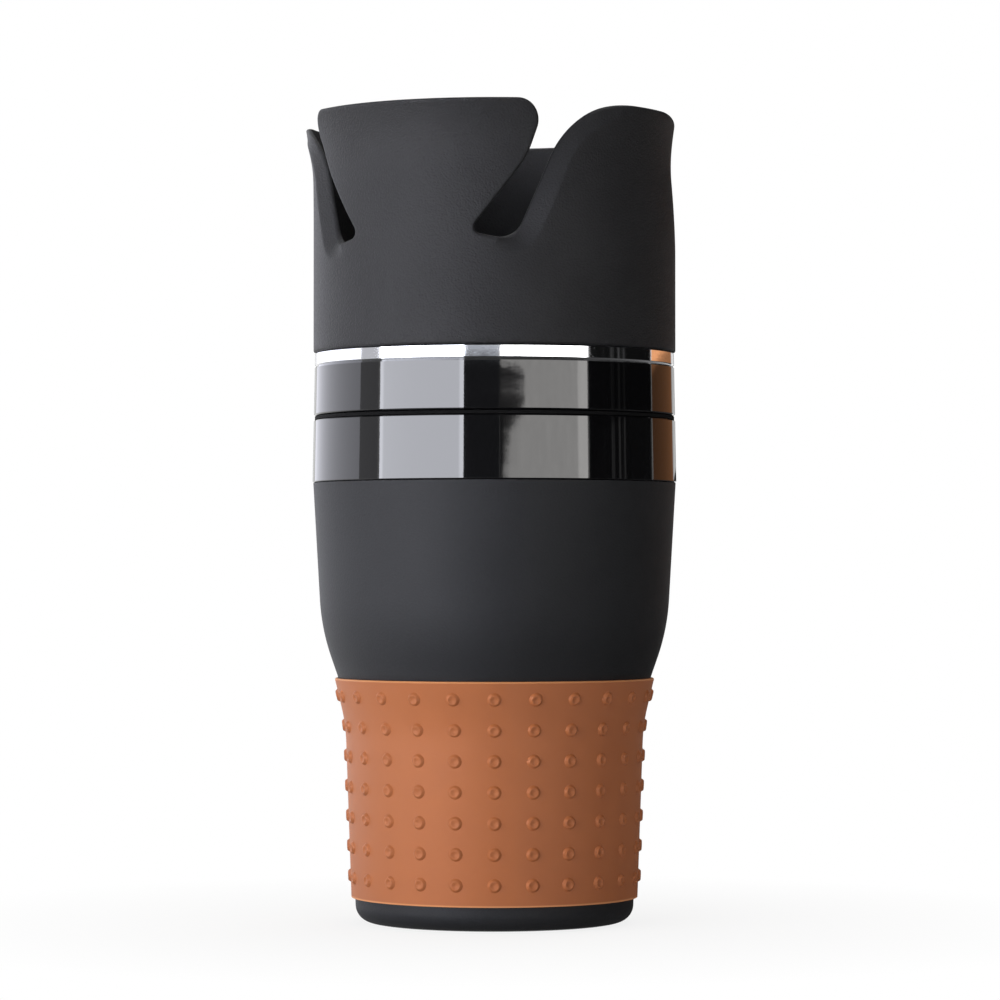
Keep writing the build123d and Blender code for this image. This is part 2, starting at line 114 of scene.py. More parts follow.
def divided(path, step):
    """A path with its long runs divided evenly, so that no two neighbours are further apart than the step."""
    spans = np.linalg.norm(np.diff(path, axis=0), axis=1)
    counts = np.maximum(1, np.ceil(spans / step)).astype(int)
    starts = np.repeat(path[:-1], counts, axis=0)
    steps = np.repeat(np.diff(path, axis=0) / counts[:, None], counts, axis=0)
    order = np.concatenate([np.arange(count) for count in counts])[:, None]
    return np.concatenate([starts + steps * order, path[-1:]])


def turned(profile, steps):
    """Points (radius, height) carried round the upright axis: x is radius * cos(angle), y radius * sin(angle).
    Returns the points, one row for each angle, and the corner numbers of the quads between them."""
    angles = np.linspace(0, 2 * pi, steps, endpoint=False)
    radius, height = profile[:, 0], profile[:, 1]
    points = np.stack([
        np.outer(np.cos(angles), radius),
        np.outer(np.sin(angles), radius),
        np.outer(np.ones(steps), height),
    ], axis=-1)
    here = np.arange(steps)[:, None] * len(profile) + np.arange(len(profile) - 1)
    beside = np.roll(here, -1, axis=0)
    return points, np.stack([here, beside, beside + 1, here + 1], axis=-1).reshape(-1, 4)


def smooth_step(value, low, high):
    """0 below low, 1 above high, and 3t^2 - 2t^3 between them."""
    t = np.clip((value - low) / (high - low), 0, 1)
    return t * t * (3 - 2 * t)


def linear(colour):
    """Linear red, green, blue and alpha of an sRGB hex colour."""
    parts = [int(colour[place:place + 2], 16) / 255 for place in (1, 3, 5)]
    return [part / 12.92 if part <= 0.04045 else ((part + 0.055) / 1.055) ** 2.4 for part in parts] + [1.0]


def add(tree, kind, links=None, **settings):
    """Adds one node: links gives its inputs as values or as other nodes' sockets, settings its options."""
    made = tree.nodes.new(kind)
    for name, value in settings.items():
        setattr(made, name, value)
    for name, value in (links or {}).items():
        if isinstance(value, bpy.types.NodeSocket):
            tree.links.new(value, made.inputs[name])
        else:
            made.inputs[name].default_value = value
    return made


def finish(name):
    """A new material with an empty node tree, and its Object coordinates."""
    made = bpy.data.materials.new(name)
    made.use_nodes = True
    tree = made.node_tree
    tree.nodes.clear()
    place = add(tree, "ShaderNodeTexCoord").outputs["Object"]
    return made, tree, place


def mottled(tone, dark, pale):
    """Sets a colour ramp's two ends as far in as a noise pattern reaches, so that both tones show."""
    ends = tone.color_ramp.elements
    ends[0].position, ends[0].color = 0.3, linear(dark)
    ends[1].position, ends[1].color = 0.7, linear(pale)


# Soft-touch rubber, moulded in a spark-eroded tool: a dull black with a fine even grain and a
# wide soft shine towards the light, a little uneven where it has been handled. The real grain of
# about 0.1 mm is too fine to show, so it is drawn at 0.45 mm.
soft_rubber, tree, place = finish("soft_touch_rubber_moulded")
grain = add(tree, "ShaderNodeTexNoise", {
    "Vector": place, "Scale": 1 / (0.45 * MM), "Detail": 1.0, "Roughness": 0.5})
handled = add(tree, "ShaderNodeTexNoise", {"Vector": place, "Scale": 1 / (14 * MM), "Detail": 3.0})
tone = add(tree, "ShaderNodeValToRGB", {"Fac": handled.outputs["Fac"]})
mottled(tone, "#1c1c1f", "#212124")
dull = add(tree, "ShaderNodeMapRange", {"Value": grain.outputs["Fac"], "To Min": 0.46, "To Max": 0.7})
pits = add(tree, "ShaderNodeBump", {"Height": grain.outputs["Fac"], "Strength": 1.0, "Distance": 0.15 * MM})
skin = add(tree, "ShaderNodeBsdfPrincipled", {
    "Base Color": tone.outputs["Color"], "Roughness": dull.outputs["Result"], "Normal": pits.outputs["Normal"],
    "IOR": 1.44, "Specular IOR Level": 0.5})
add(tree, "ShaderNodeOutputMaterial", {"Surface": skin.outputs["BSDF"]})

# ABS moulded against a bead-blasted tool: dull black like the rubber, with a tighter grain, drawn
# at 0.5 mm because the real 0.1 mm would not show.
matte_abs, tree, place = finish("matte_abs_moulded")
grain = add(tree, "ShaderNodeTexNoise", {
    "Vector": place, "Scale": 1 / (0.5 * MM), "Detail": 2.0, "Roughness": 0.55})
flow = add(tree, "ShaderNodeTexNoise", {"Vector": place, "Scale": 1 / (22 * MM), "Detail": 2.0})
tone = add(tree, "ShaderNodeValToRGB", {"Fac": flow.outputs["Fac"]})
mottled(tone, "#18191d", "#1c1d21")
dull = add(tree, "ShaderNodeMapRange", {"Value": grain.outputs["Fac"], "To Min": 0.54, "To Max": 0.66})
pits = add(tree, "ShaderNodeBump", {"Height": grain.outputs["Fac"], "Strength": 0.6, "Distance": 0.08 * MM})
skin = add(tree, "ShaderNodeBsdfPrincipled", {
    "Base Color": tone.outputs["Color"], "Roughness": dull.outputs["Result"], "Normal": pits.outputs["Normal"],
    "IOR": 1.46, "Specular IOR Level": 0.5})
add(tree, "ShaderNodeOutputMaterial", {"Surface": skin.outputs["BSDF"]})

# Painted shadow for the split line: a flat, deep black on the strip put in the gap between the rings, where
# there is only shade, so that the split line reads as a dark line. Its roughness noise is finer than a render
# shows, drawn at 0.4 mm.
split_line_shade_black, tree, place = finish("split_line_painted_shade")
grain = add(tree, "ShaderNodeTexNoise", {"Vector": place, "Scale": 1 / (0.4 * MM), "Detail": 2.0})
dull = add(tree, "ShaderNodeMapRange", {"Value": grain.outputs["Fac"], "To Min": 0.8, "To Max": 0.95})
skin = add(tree, "ShaderNodeBsdfPrincipled", {
    "Base Color": linear("#0a0a0b"), "Roughness": dull.outputs["Result"],
    "IOR": 1.3, "Specular IOR Level": 0.5})
add(tree, "ShaderNodeOutputMaterial", {"Surface": skin.outputs["BSDF"]})

# Terracotta silicone, compression moulded: a satin rubber whose pigment is slightly cloudy. Its real
# grain is under 0.1 mm and is drawn at 0.5 mm.
silicone, tree, place = finish("terracotta_silicone_moulded")
cloud = add(tree, "ShaderNodeTexNoise", {
    "Vector": place, "Scale": 1 / (9 * MM), "Detail": 4.0, "Roughness": 0.6})
grain = add(tree, "ShaderNodeTexNoise", {"Vector": place, "Scale": 1 / (0.5 * MM), "Detail": 2.0})
tone = add(tree, "ShaderNodeValToRGB", {"Fac": cloud.outputs["Fac"]})
mottled(tone, "#a65e2f", "#aa6131")
# Painted highlight: both lips are painted paler, for the light that their rounded edges catch
grip_middle, grip_half = (GRIP_TOP + GRIP_FOOT) / 2, (GRIP_TOP - GRIP_FOOT) / 2
level = add(tree, "ShaderNodeSeparateXYZ", {"Vector": place}).outputs["Z"]
from_middle = add(tree, "ShaderNodeMath", {0: level, 1: grip_middle * MM}, operation="SUBTRACT")
from_middle = add(tree, "ShaderNodeMath", {0: from_middle.outputs[0]}, operation="ABSOLUTE")
painted_lip_highlight = add(tree, "ShaderNodeMapRange", {
    "Value": from_middle.outputs[0], "From Min": (grip_half - 0.5) * MM, "From Max": (grip_half - 0.2) * MM,
    "To Max": 0.7})
# The painted lip highlight is mixed into the silicone's colour here
tone = add(tree, "ShaderNodeMixRGB", {
    "Fac": painted_lip_highlight.outputs["Result"], "Color1": tone.outputs["Color"], "Color2": linear("#e09a62")})
dull = add(tree, "ShaderNodeMapRange", {"Value": cloud.outputs["Fac"], "To Min": 0.53, "To Max": 0.59})
pits = add(tree, "ShaderNodeBump", {"Height": grain.outputs["Fac"], "Strength": 0.2, "Distance": 0.03 * MM})
skin = add(tree, "ShaderNodeBsdfPrincipled", {
    "Base Color": tone.outputs["Color"], "Roughness": dull.outputs["Result"], "Normal": pits.outputs["Normal"],
    "IOR": 1.58, "Specular IOR Level": 0.5})
add(tree, "ShaderNodeOutputMaterial", {"Surface": skin.outputs["BSDF"]})

# Black ABS from a polished tool: a deep black mirror, whose faint shrink waves ruffle reflected edges.
gloss_abs, tree, place = finish("gloss_abs_polished_mould")
wave = add(tree, "ShaderNodeTexNoise", {"Vector": place, "Scale": 1 / (2.2 * MM), "Detail": 2.0})
pits = add(tree, "ShaderNodeBump", {"Height": wave.outputs["Fac"], "Strength": 0.1, "Distance": 0.02 * MM})
smear = add(tree, "ShaderNodeTexNoise", {"Vector": place, "Scale": 1 / (12 * MM), "Detail": 3.0})
sheen = add(tree, "ShaderNodeMapRange", {"Value": smear.outputs["Fac"], "To Min": 0.02, "To Max": 0.06})
skin = add(tree, "ShaderNodeBsdfPrincipled", {
    "Base Color": linear("#0b0b0d"), "Roughness": sheen.outputs["Result"], "Normal": pits.outputs["Normal"],
    "IOR": 1.54, "Specular IOR Level": 0.5})
add(tree, "ShaderNodeOutputMaterial", {"Surface": skin.outputs["BSDF"]})

# Chromium plated on polished ABS: a bright mirror with a trace of the moulding's waves.
chrome, tree, place = finish("chromium_plated_abs")
wave = add(tree, "ShaderNodeTexNoise", {"Vector": place, "Scale": 1 / (1.8 * MM), "Detail": 2.0})
pits = add(tree, "ShaderNodeBump", {"Height": wave.outputs["Fac"], "Strength": 0.2, "Distance": 0.02 * MM})
smear = add(tree, "ShaderNodeTexNoise", {"Vector": place, "Scale": 1 / (8 * MM), "Detail": 3.0})
sheen = add(tree, "ShaderNodeMapRange", {"Value": smear.outputs["Fac"], "To Min": 0.04, "To Max": 0.1})
skin = add(tree, "ShaderNodeBsdfPrincipled", {
    "Base Color": linear("#d9dadd"), "Roughness": sheen.outputs["Result"], "Normal": pits.outputs["Normal"],
    "Metallic": 1.0})
add(tree, "ShaderNodeOutputMaterial", {"Surface": skin.outputs["BSDF"]})

# Zinc-plated steel, barrel finished: a soft grey metal with a crystalline spangle.
zinc, tree, place = finish("zinc_plated_steel")
spangle = add(tree, "ShaderNodeTexVoronoi", {"Vector": place, "Scale": 1 / (0.6 * MM)})
sheen = add(tree, "ShaderNodeMapRange", {"Value": spangle.outputs["Distance"], "To Min": 0.24, "To Max": 0.42})
skin = add(tree, "ShaderNodeBsdfPrincipled", {
    "Base Color": linear("#b4b8bd"), "Roughness": sheen.outputs["Result"], "Metallic": 1.0})
add(tree, "ShaderNodeOutputMaterial", {"Surface": skin.outputs["BSDF"]})

# Free-cutting brass, turned: yellow metal with the fine rings of the tool.
brass, tree, place = finish("turned_brass")
rings = add(tree, "ShaderNodeTexWave", {"Vector": place, "Scale": 1 / (0.35 * MM)}, bands_direction="Z")
sheen = add(tree, "ShaderNodeMapRange", {"Value": rings.outputs["Fac"], "To Min": 0.2, "To Max": 0.34})
skin = add(tree, "ShaderNodeBsdfPrincipled", {
    "Base Color": linear("#c9a253"), "Roughness": sheen.outputs["Result"], "Metallic": 1.0})
add(tree, "ShaderNodeOutputMaterial", {"Surface": skin.outputs["BSDF"]})

# Acetal, moulded: a waxy white plastic with a faint mottle.
acetal, tree, place = finish("white_acetal_moulded")
cloud = add(tree, "ShaderNodeTexNoise", {"Vector": place, "Scale": 1 / (2 * MM), "Detail": 2.0})
tone = add(tree, "ShaderNodeValToRGB", {"Fac": cloud.outputs["Fac"]})
tone.color_ramp.elements[0].color, tone.color_ramp.elements[1].color = linear("#dedcd4"), linear("#e8e6df")
skin = add(tree, "ShaderNodeBsdfPrincipled", {
    "Base Color": tone.outputs["Color"], "Roughness": 0.38, "IOR": 1.48})
add(tree, "ShaderNodeOutputMaterial", {"Surface": skin.outputs["BSDF"]})

for name, made in (
    ("lower_ring", gloss_abs), ("swing_cup", gloss_abs), ("trim_ring", chrome), ("pivot_bush", acetal),
    ("flat_washer", zinc), ("disc_spring", zinc), ("pivot_screw", zinc), ("threaded_insert", brass),
):
    nodes[name].data.materials.clear()
    nodes[name].data.materials.append(made)


def cup_side(gap):
    """Cup's outside as (radius, height): foot, waist, neck and rim joined by arcs, moved out by a gap."""
    corners = np.array([
        (FOOT_RADIUS, FOOT_ROUND), (WAIST_RADIUS, WAIST_HEIGHT), (NECK_RADIUS, NECK_HEIGHT),
        (SHOULDER_RADIUS, SHOULDER_HEIGHT), (RIM_RADIUS, RIM_HEIGHT)])
    return rounded_path(corners + (gap, 0), (WAIST_BLEND, NECK_BLEND, SHOULDER_BLEND), 1.0)


def make_lower_cup():
    """Lower cup: its section (rounded foot, side, spigot, inside, recess) carried round the axis.
    Behind the pivot's boss the spigot is no higher than the notch's floor."""
    mouth, spigot = RIM_RADIUS - CUP_WALL, RIM_RADIUS - CUP_WALL + SPIGOT_WALL
    floor_top = CUP_WALL + RECESS_DEPTH
    foot = rounded_path([
        (0, RECESS_DEPTH), (RECESS_RADIUS, RECESS_DEPTH), (RECESS_RADIUS, 0), (FOOT_RADIUS, 0),
        (FOOT_RADIUS, FOOT_ROUND),
    ], (0.4, 0.3, FOOT_ROUND), 0.5)
    inside = rounded_path([
        (RIM_RADIUS, RIM_HEIGHT), (spigot, RIM_HEIGHT), (spigot, SPIGOT_TOP), (mouth, SPIGOT_TOP),
        (mouth, RIM_HEIGHT), (SHOULDER_RADIUS - CUP_WALL, SHOULDER_HEIGHT + CUP_WALL),
        (NECK_RADIUS - CUP_WALL, NECK_HEIGHT), (WAIST_RADIUS - CUP_WALL, WAIST_HEIGHT),
        (FOOT_RADIUS - CUP_WALL, FOOT_ROUND + RECESS_DEPTH), (FOOT_RADIUS - FOOT_ROUND, floor_top),
        (0, floor_top),
    ], (0.1, 0.3, 0.3, NECK_BLEND, SHOULDER_BLEND, NECK_BLEND, WAIST_BLEND, 1.0, 1.0), 0.8)
    profile = divided(np.concatenate([foot, cup_side(0)[1:], inside[1:]]), 3.0)
    points, quads = turned(profile, ROUND_STEPS)
    behind = (np.abs(points[..., 0]) < NOTCH_HALF) & (points[..., 1] > 0)
    points[..., 2] = np.where(behind, np.minimum(points[..., 2], NOTCH_FLOOR), points[..., 2])
    piece("lower_cup_shell", points.reshape(-1, 3), quads, "base", "lower_cup", matte_abs)


def make_grip():
    """Grip sleeve: a thin skin on the cup's side with rolled lips, and studs set on it in columns. A stud's
    point is its root on the skin, plus its section's x across, y up the slope and z straight out."""
    outer, inner = cup_side(GRIP_GAP + GRIP_WALL), cup_side(GRIP_GAP)
    levels = 60
    heights = np.linspace(GRIP_FOOT, GRIP_TOP, levels)
    out_radius = np.interp(heights, outer[:, 1], outer[:, 0])
    in_radius = np.interp(heights, inner[:, 1], inner[:, 0])
    section = rounded_path(np.concatenate([
        np.stack([in_radius, heights], 1), np.stack([out_radius, heights], 1)[::-1],
        [(in_radius[0], heights[0])],
    ]), [0] * (levels - 1) + [GRIP_LIP, GRIP_LIP] + [0] * (levels - 1), 0.1)
    points, quads = turned(section, ROUND_STEPS)
    piece("grip_sleeve_skin", points.reshape(-1, 3), quads, "base", "grip_sleeve", silicone)

    # One stud's section as (radius, rise): sloping sides, a narrow flat crown and a shallow dimple in it
    section = np.array([
        (1.72, -0.1), (1.52, 0.08), (1.2, 0.54), (1.02, 0.6), (0.8, 0.56), (0.52, 0.4), (0.0, 0.36)])
    stud, stud_quads = turned(section, STUD_SIDES)
    stud = stud.reshape(-1, 3)
    rows = np.linspace(STUD_FIRST, STUD_LAST, STUD_ROWS)
    slope = np.arctan(np.gradient(outer[:, 0], outer[:, 1]))
    columns = radians(-90) + np.arange(STUD_COLUMNS) * 2 * pi / STUD_COLUMNS
    height, angle = np.meshgrid(rows, columns, indexing="ij")
    seat = np.interp(height, outer[:, 1], outer[:, 0])
    lean = np.interp(height, outer[:, 1], slope)
    away = np.stack([np.cos(lean) * np.cos(angle), np.cos(lean) * np.sin(angle), -np.sin(lean)], -1)
    across = np.stack([-np.sin(angle), np.cos(angle), np.zeros_like(angle)], -1)
    up = np.cross(away, across)
    root = np.stack([seat * np.cos(angle), seat * np.sin(angle), height], -1)
    points = root[:, :, None] + stud @ np.stack([across, up, away], axis=-2)
    first = np.arange(STUD_ROWS * STUD_COLUMNS) * len(stud)
    quads = (stud_quads[None] + first[:, None, None]).reshape(-1, 4)
    piece("grip_sleeve_studs", points.reshape(-1, 3), quads, "base", None, silicone, 38.0)


def make_split_line_shade():
    """Painted shade in the split line: a dark flat strip's section turned round the axis, resting on the lower
    ring.
    """
    low, high = RING_TOP, RING_TOP + SHADE_STRIP_HEIGHT
    section = rounded_path([
        (SHADE_STRIP_INSIDE, low), (SHADE_STRIP_OUTSIDE, low), (SHADE_STRIP_OUTSIDE, high), (SHADE_STRIP_INSIDE, high), (SHADE_STRIP_INSIDE, low),
    ], (0, SHADE_STRIP_EDGE, SHADE_STRIP_EDGE), 0.05)
    points, quads = turned(section, ROUND_STEPS)
    piece("split_line_shade_strip", points.reshape(-1, 3), quads, "base", None, split_line_shade_black)


def make_petal_collar():
    """Soft collar, worked out on one quarter and mirrored to four. A place on its wall is (across, height),
    across being measured square to the slot. Its outer radius is the flared tube's, less the edge's
    rounding and less the side petals' bevel, both by distance from the outline."""
    top, foot = COLLAR_TOP, TRIM_TOP
    low = top - SLOT_DEPTH
    fan_bend = SLOT_LEFT + (SLOT_DEPTH - SLOT_TILT - FAN_TIP_DEPTH) * tan(radians(FAN_LEAN))
    fan_tip = fan_bend + FAN_TIP_DEPTH * tan(radians(FAN_TIP_LEAN))
    side_tip = SLOT_RIGHT + SLOT_DEPTH * tan(radians(SIDE_LEAN))
    left = -COLLAR_RADIUS * sin(radians(SLOT_ANGLE))
    right = COLLAR_RADIUS * cos(radians(SLOT_ANGLE))
    outline = divided(rounded_path(
        [(left, top), (fan_tip, top), (fan_bend, top - FAN_TIP_DEPTH), (SLOT_LEFT, low + SLOT_TILT),
         (SLOT_RIGHT, low), (side_tip, top), (right, top)],
        (FAN_CORNER, FAN_BEND, SLOT_FAN_CORNER, SLOT_SIDE_CORNER, SIDE_SHOULDER), 0.45), 0.6)
    along = np.gradient(outline, axis=0)
    inward = np.stack([along[:, 1], -along[:, 0]], 1) / np.linalg.norm(along, axis=1)[:, None]
    inward[[0, -1]] = (0, -1)
    base_line = np.linspace((right, foot), (left, foot), 60)

    # Bevel of the side petals: how wide it is and how deep it cuts the edge, by share of that edge's length
    slot_floor = outline[:, 1].argmin()
    side_top = slot_floor + np.flatnonzero(outline[slot_floor:, 1] > top - 0.001)[0]
    side_edge = outline[slot_floor:side_top + 1]
    share = np.concatenate([[0], np.cumsum(np.linalg.norm(np.diff(outline, axis=0), axis=1))])
    share = (share - share[slot_floor]) / (share[side_top] - share[slot_floor])
    stations = [0.08, 0.3, 0.55, 0.75, 0.9, 1.0]
    bevel_wide = np.interp(share, [0.0] + stations, [3.6, 4.4, 4.5, 4.2, 4.0, 3.4, 0.8])
    bevel_deep = np.interp(share, [-0.02] + stations, [0.0, 2.1, 2.4, 2.3, 2.0, 1.4, 0.0])

    # Rows that follow the outline inwards shape its rounded edge and the bevel's crease
    depths = np.array([0.0, 0.06, 0.2, 0.42, 0.7, 1.1])
    rows = outline[None] + inward[None] * depths[:, None, None]
    lip_rows = base_line[None] + np.array([0.0, 0.15, 0.4])[:, None, None] * np.array([0, 1.0])
    reach = np.array([0.45, 0.65, 0.85, 0.94, 1.0, 1.06, 1.15, 1.35])[:, None] * bevel_wide[None]
    creases = (outline[None] + inward[None] * reach[..., None])[(reach > 1.4) & (share >= 0) & (share <= 1)]

    # Even points fill the rest, clear of the rows and the creases
    even = np.meshgrid(np.linspace(left, right, 56), np.linspace(foot + 1.2, top - 1.2, 50))
    even = np.stack(even, -1).reshape(-1, 2)
    nearest = np.linalg.norm(even[:, None] - outline[None], axis=2).argmin(1)
    inside = ((even - outline[nearest]) * inward[nearest]).sum(1) > 1.6
    inside &= np.linalg.norm(even[:, None] - creases[None], axis=2).min(1) > 0.6
    net = np.concatenate([rows.reshape(-1, 2), lip_rows.reshape(-1, 2), creases, even[inside]])
    base_start = len(depths) * len(outline)
    ring = np.concatenate([np.arange(len(outline)), base_start + np.arange(len(base_line))])
    edges = [(int(a), int(b)) for a, b in zip(ring, np.roll(ring, -1))]
    flat, _, triangles, _, _, _ = delaunay_2d_cdt([Vector(p) for p in net.tolist()], edges, [], 1, 1e-5)
    flat, triangles = np.array([tuple(p) for p in flat]), np.array(triangles)
    across, height, size = flat[:, 0], flat[:, 1], len(flat)

    nearest = np.linalg.norm(flat[:, None] - outline[None], axis=2).argmin(1)
    depth = np.maximum(((flat - outline[nearest]) * inward[nearest]).sum(1), 0)
    beside = across - np.interp(height, side_edge[:, 1], side_edge[:, 0])
    side_part = (beside > -0.2) | (across > side_edge[-1, 0])

    # Thin wall between the outer and inner sheets, open where the mirrored quarters join
    following = np.roll(ring, -1)
    wall = np.stack([ring, following, following + size, ring + size], 1)
    on_seam = (np.abs(across - left) < 1e-4) | (np.abs(across - right) < 1e-4)
    wall = wall[~(on_seam[ring] & on_seam[following] & (height[ring] != height[following]))]

    def rounding(distance, radius):
        """Drop of a quarter-round edge at a distance from it: radius - sqrt(radius^2 - reach^2), where reach
        is how much nearer than the radius the edge is."""
        reach = np.clip(radius - distance, 0, radius)
        return radius - np.sqrt(radius ** 2 - reach ** 2)

    def sheets(across, height):
        """Radius and angle of the places of one quarter, on its outer and on its inner sheet."""
        rise = np.clip((height - (top - FLARE_HEIGHT)) / FLARE_HEIGHT, 0, 1)
        outer = COLLAR_RADIUS + FLARE_REACH * rise ** 2
        inner = COLLAR_BORE + INNER_REACH * rise ** 2
        nominal = np.arcsin(across / COLLAR_RADIUS)
        slope = bevel_deep[nearest] * (1 - depth / bevel_wide[nearest])
        cut = CREASE_SOFTNESS * np.log1p(np.exp(np.clip(slope / CREASE_SOFTNESS, -40, 40)))
        outer = np.maximum(outer - cut * (bevel_deep[nearest] > 0) * side_part, inner + LEAST_WALL)
        outer = outer - rounding(depth, OUTER_ROUND) - rounding(height - foot, COLLAR_FOOT_ROUND)
        inner = inner + rounding(depth, INNER_ROUND)
        near_slot = 1 - smooth_step(np.abs(across), 13.0, 24.0)
        both = []
        for radius in (outer, inner):
            # Near the slot its two walls stay parallel, as the mould's blade cuts them
            parallel = np.arcsin(np.clip(COLLAR_RADIUS * np.sin(nominal) / radius, -1, 1))
            both.append((radius, radians(SLOT_ANGLE) + nominal + (parallel - nominal) * near_slot))
        return both

    # The rear fan petal is lower: its corner is moved down along its own edge
    drop = REAR_DROP * smooth_step(height, top - FAN_TIP_DEPTH, top - FAN_CORNER) * ~side_part
    shift = drop * tan(radians(FAN_TIP_LEAN)) * smooth_step(across, left, left + 15)
    front, rear = sheets(across, height), sheets(across - shift, height - drop)
    lifted = np.where(side_part, np.clip((height - low) / SLOT_DEPTH, 0, 1), 0)
    points, faces = [], []
    # The right-hand side petal is slack and leans in, the left one spreads and droops; the rear petals' turn
    # widens the right one
    for copy, (sense, start, hand) in enumerate(((1, 0, 1), (-1, 0, -1), (-1, pi, 1), (1, pi, -1))):
        if hand > 0:
            slack = RIGHT_LEAN * lifted ** 1.6 + RIGHT_TIP_LEAN * lifted ** 8
            sag = RIGHT_REAR_DROOP * lifted ** 3 * (1 - smooth_step(across, 22.0, right)) if start else 0
        else:
            slack = -LEFT_SPREAD * lifted ** 3
            sag = LEFT_DROOP * lifted ** 2
        settled = height - sag - (drop if start else 0)
        for radius, angle in (rear if start else front):
            angle = angle + hand * radians(REAR_TURN / 2) * smooth_step(angle, radians(70), radians(90))
            azimuth = radians(FAN_AZIMUTH) + sense * angle + (start + radians(REAR_TURN) if start else 0)
            reached = radius - slack
            points.append(np.stack([reached * np.cos(azimuth), reached * np.sin(azimuth), settled], 1))
        first = copy * 2 * size
        faces += (triangles + first).tolist() + (triangles[:, ::-1] + size + first).tolist()
        faces += (wall + first).tolist()
    piece("petal_collar_soft", np.concatenate(points), faces, "swing", "petal_collar", soft_rubber,
          50.0)


make_lower_cup()
make_grip()
make_split_line_shade()
make_petal_collar()

# Camera at the photograph's place, in millimetres from the holder's axis and foot; its aim and focal
# length are in pixels of the square picture
CAMERA_DISTANCE, CAMERA_HEIGHT, SENSOR = 950.0, 82.1, 36.0
PICTURE, FOCAL_PIXELS, HORIZON_ROW, AXIS_COLUMN = 1000.0, 4052.0, 570.0, 494.5
camera_data = bpy.data.cameras.new("photo_camera")
camera_data.sensor_width = SENSOR
camera_data.lens = FOCAL_PIXELS / PICTURE * SENSOR
camera_data.clip_start, camera_data.clip_end = 0.05, 50.0
camera = bpy.data.objects.new("photo_camera", camera_data)
bpy.context.scene.collection.objects.link(camera)
aside = (PICTURE / 2 - AXIS_COLUMN) * CAMERA_DISTANCE / FOCAL_PIXELS
camera.location = (aside * MM, -CAMERA_DISTANCE * MM, CAMERA_HEIGHT * MM)
camera.rotation_euler = (radians(90) + atan((HORIZON_ROW - PICTURE / 2) / FOCAL_PIXELS), 0, 0)
bpy.context.scene.camera = camera
bpy.context.scene.view_settings.view_transform = "Standard"

# What the lamps and boards are turned to, in metres: the middle of the holder
MIDDLE = Vector((0, 0, 0.1))


def toward(azimuth, distance, height):
    """A place round the holder: azimuth is 0 at the camera and grows to the right."""
    return Vector((sin(radians(azimuth)) * distance, -cos(radians(azimuth)) * distance, height))


def panel_light(name, azimuth, distance, height, wide, tall, radiance, colour):
    """A soft panel of light facing the holder; its power is radiance * pi * area."""
    data = bpy.data.lights.new(name, "AREA")
    data.shape, data.size, data.size_y = "RECTANGLE", wide, tall
    data.energy = radiance * pi * wide * tall
    data.color = linear(colour)[:3]
    made = bpy.data.objects.new(name, data)
    made.location = toward(azimuth, distance, height)
    made.rotation_euler = (MIDDLE - made.location).to_track_quat("-Z", "Y").to_euler()
    bpy.context.scene.collection.objects.link(made)
    return made


# The side panels don't show in shiny parts, which see the boards below instead
for lamp in (
    panel_light("key_panel", -48, 1.6, 0.5, 1.75, 0.5, 8.2, "#ffffff"),
    panel_light("side_panel", 34, 1.6, 0.3, 1.7, 0.3, 2.2, "#fff2e6"),
    panel_light("rear_left_panel", -128, 1.6, 0.3, 1.6, 0.5, 1.5, "#ffffff"),
    panel_light("rear_right_panel", 150, 1.6, 0.7, 1.4, 0.6, 3.0, "#ffffff"),
):
    lamp.visible_glossy = False
panel_light("overhead_panel", 180, 0.2, 1.6, 1.2, 1.2, 1.6, "#ffffff")


def board(name, azimuth, distance, height, wide, tall, colour, glow):
    """A flat board facing the holder that only glossy rays meet: what shiny parts show. Its glow is a
    strength, or a function that makes one from the board's own coordinates (x to the photo's left, y up)."""
    made, tree, place = finish(name + "_card")
    at = add(tree, "ShaderNodeSeparateXYZ", {"Vector": place}).outputs
    strength = glow(tree, place, at["X"], at["Y"]) if callable(glow) else glow
    light = add(tree, "ShaderNodeEmission", {"Color": linear(colour), "Strength": strength})
    add(tree, "ShaderNodeOutputMaterial", {"Surface": light.outputs["Emission"]})
    mesh = bpy.data.meshes.new(name)
    w, t = wide / 2, tall / 2
    mesh.from_pydata([(-w, -t, 0), (w, -t, 0), (w, t, 0), (-w, t, 0)], [], [(0, 1, 2, 3)])
    mesh.materials.append(made)
    shown = bpy.data.objects.new(name, mesh)
    shown.location = toward(azimuth, distance, height)
    shown.rotation_euler = (MIDDLE - shown.location).to_track_quat("Z", "Y").to_euler()
    bpy.context.scene.collection.objects.link(shown)
    shown.visible_camera = shown.visible_diffuse = shown.visible_shadow = shown.visible_transmission = False
    return shown


def brighter_above(level, low, high):
    """A glow that steps from low to high at a level of the board: the rings see below it, the chrome above."""
    def glow(tree, place, x, y):
        return add(tree, "ShaderNodeMapRange", {
            "Value": y, "From Min": level - 0.004, "From Max": level + 0.004, "To Min": low, "To Max": high,
        }).outputs["Result"]
    return glow


def softbox(tree, place, x, y):
    """Even in the middle and brighter along its two upright edges."""
    side = add(tree, "ShaderNodeMath", {0: x}, operation="ABSOLUTE").outputs[0]
    return add(tree, "ShaderNodeMapRange", {
        "Value": side, "From Min": 0.76, "From Max": 0.8, "To Min": 9.8, "To Max": 12.6}).outputs["Result"]


